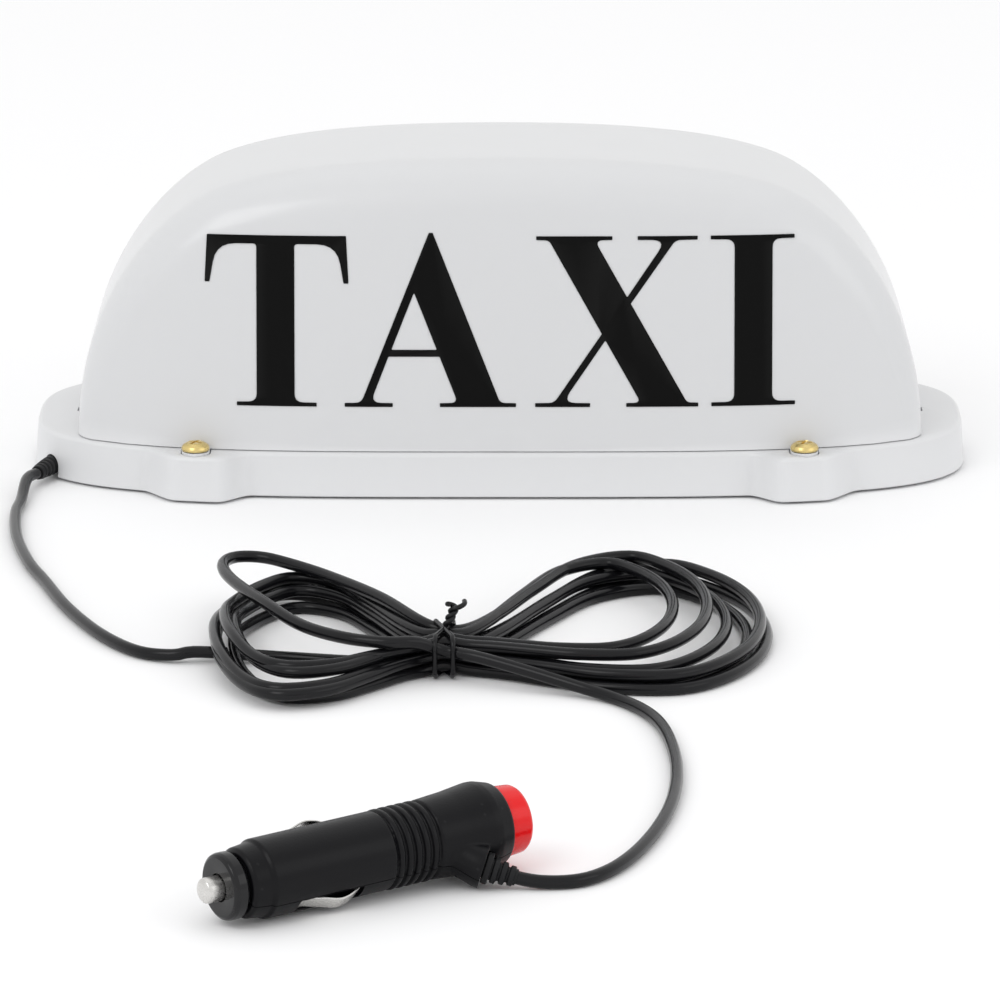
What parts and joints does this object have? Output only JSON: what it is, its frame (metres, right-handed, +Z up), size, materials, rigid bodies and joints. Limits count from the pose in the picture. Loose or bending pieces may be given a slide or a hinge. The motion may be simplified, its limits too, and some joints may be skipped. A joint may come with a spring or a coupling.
{
  "type": "taxi roof sign",
  "caption": "Illuminated taxi roof sign: opal dome on a white base with magnetic feet, and a tied lead that ends in a 12 V socket plug with a push switch.",
  "frame": {"origin": "centre of the sign's footprint, on the surface that its magnet pads stand on", "axes": "+X along the sign's length, -Y towards the front face and the lead, +Z up"},
  "size_m": [0.3031, 0.5448, 0.104],
  "materials": {
    "white_abs": "white moulded ABS, fine satin",
    "milk_acrylic": "opal acrylic, smooth and slightly translucent",
    "silicone": "translucent silicone bead",
    "black_vinyl": "black cut vinyl film, satin",
    "yellow_zinc": "steel with yellow zinc plating",
    "brass": "turned brass",
    "black_rubber": "moulded soft black rubber",
    "ferrite": "ground ferrite, dull",
    "steel": "pressed steel, plain zinc plating",
    "board_mask": "white solder mask",
    "lamp_phosphor": "yellow phosphor gel in a white case",
    "black_pvc": "black PVC jacket, soft sheen",
    "red_pvc": "red PVC insulation",
    "black_abs": "black moulded ABS, satin",
    "gloss_black": "black phenolic, polished",
    "nickel": "nickel plating",
    "fuse_glass": "glass tube with end caps",
    "red_plastic": "translucent red plastic, polished"
  },
  "bodies": {
    "sign": {"base_shell": "white_abs", "dome_cover": "milk_acrylic", "dome_seal": "silicone", "letter_T_front": "black_vinyl", "letter_T_back": "black_vinyl", "letter_A_front": "black_vinyl", "letter_A_back": "black_vinyl", "letter_X_front": "black_vinyl", "letter_X_back": "black_vinyl", "letter_I_front": "black_vinyl", "letter_I_back": "black_vinyl", "cover_screw_front_left": "yellow_zinc", "cover_screw_front_right": "yellow_zinc", "cover_screw_back_left": "yellow_zinc", "cover_screw_back_right": "yellow_zinc", "board_screw_left": "yellow_zinc", "board_screw_right": "yellow_zinc", "insert_front_left": "brass", "insert_front_right": "brass", "insert_back_left": "brass", "insert_back_right": "brass", "magnet_pad_front_left": "black_rubber", "magnet_pad_front_right": "black_rubber", "magnet_pad_back_left": "black_rubber", "magnet_pad_back_right": "black_rubber", "cord_grommet": "black_rubber", "plug_relief": "black_rubber", "magnet_front_left": "ferrite", "magnet_front_right": "ferrite", "magnet_back_left": "ferrite", "magnet_back_right": "ferrite", "magnet_yoke_front_left": "steel", "magnet_yoke_front_right": "steel", "magnet_yoke_back_left": "steel", "magnet_yoke_back_right": "steel", "tip_spring": "steel", "lamp_board": "board_mask", "lamp_1": "lamp_phosphor", "lamp_2": "lamp_phosphor", "lamp_3": "lamp_phosphor", "lamp_4": "lamp_phosphor", "lamp_5": "lamp_phosphor", "lamp_6": "lamp_phosphor", "cord_lead": "black_pvc", "cord_inner": "black_pvc", "board_wire_black": "black_pvc", "cord_hank": "black_pvc", "hank_tie": "black_pvc", "cord_tail": "black_pvc", "board_wire_red": "red_pvc", "plug_shell_lower": "black_abs", "plug_shell_upper": "black_abs", "switch_body": "black_abs"},
    "ring": {"plug_ring": "gloss_black"},
    "tip": {"tip_contact": "nickel", "fuse": "fuse_glass"},
    "contact_front": {"side_contact_front": "nickel"},
    "contact_back": {"side_contact_back": "nickel"},
    "button": {"switch_button": "red_plastic"}
  },
  "joints": [
    {"name": "ring_turn", "type": "hinge", "parent": "sign", "child": "ring", "pos_m": [5.7263, 3.43641, 0.17834], "axis": [0.8288, 0.559, 0.024], "continuous": true},
    {"name": "tip_slide", "type": "slide", "parent": "sign", "child": "tip", "axis": [0.8288, 0.559, 0.024], "range_m": [0, 0.0035], "stiffness_N_per_m": 1200, "springref_m": -0.0015, "deforming": ["tip_spring"]},
    {"name": "contact_front_press", "type": "hinge", "parent": "sign", "child": "contact_front", "pos_m": [-0.05019, -0.46903, 0.00371], "axis": [0.3668, -0.5752, 0.7311], "range_deg": [0, 3.5], "stiffness_Nm_per_rad": 0.4, "springref_deg": -1.72},
    {"name": "contact_back_press", "type": "hinge", "parent": "sign", "child": "contact_back", "pos_m": [-0.05897, -0.45661, 0.01789], "axis": [-0.3668, 0.5752, -0.7311], "range_deg": [0, 3.5], "stiffness_Nm_per_rad": 0.4, "springref_deg": -1.72},
    {"name": "button_press", "type": "slide", "parent": "sign", "child": "button", "axis": [-0.8288, -0.559, -0.024], "range_m": [0, 0.0025], "stiffness_N_per_m": 1500, "springref_m": -0.0008}
  ]
}
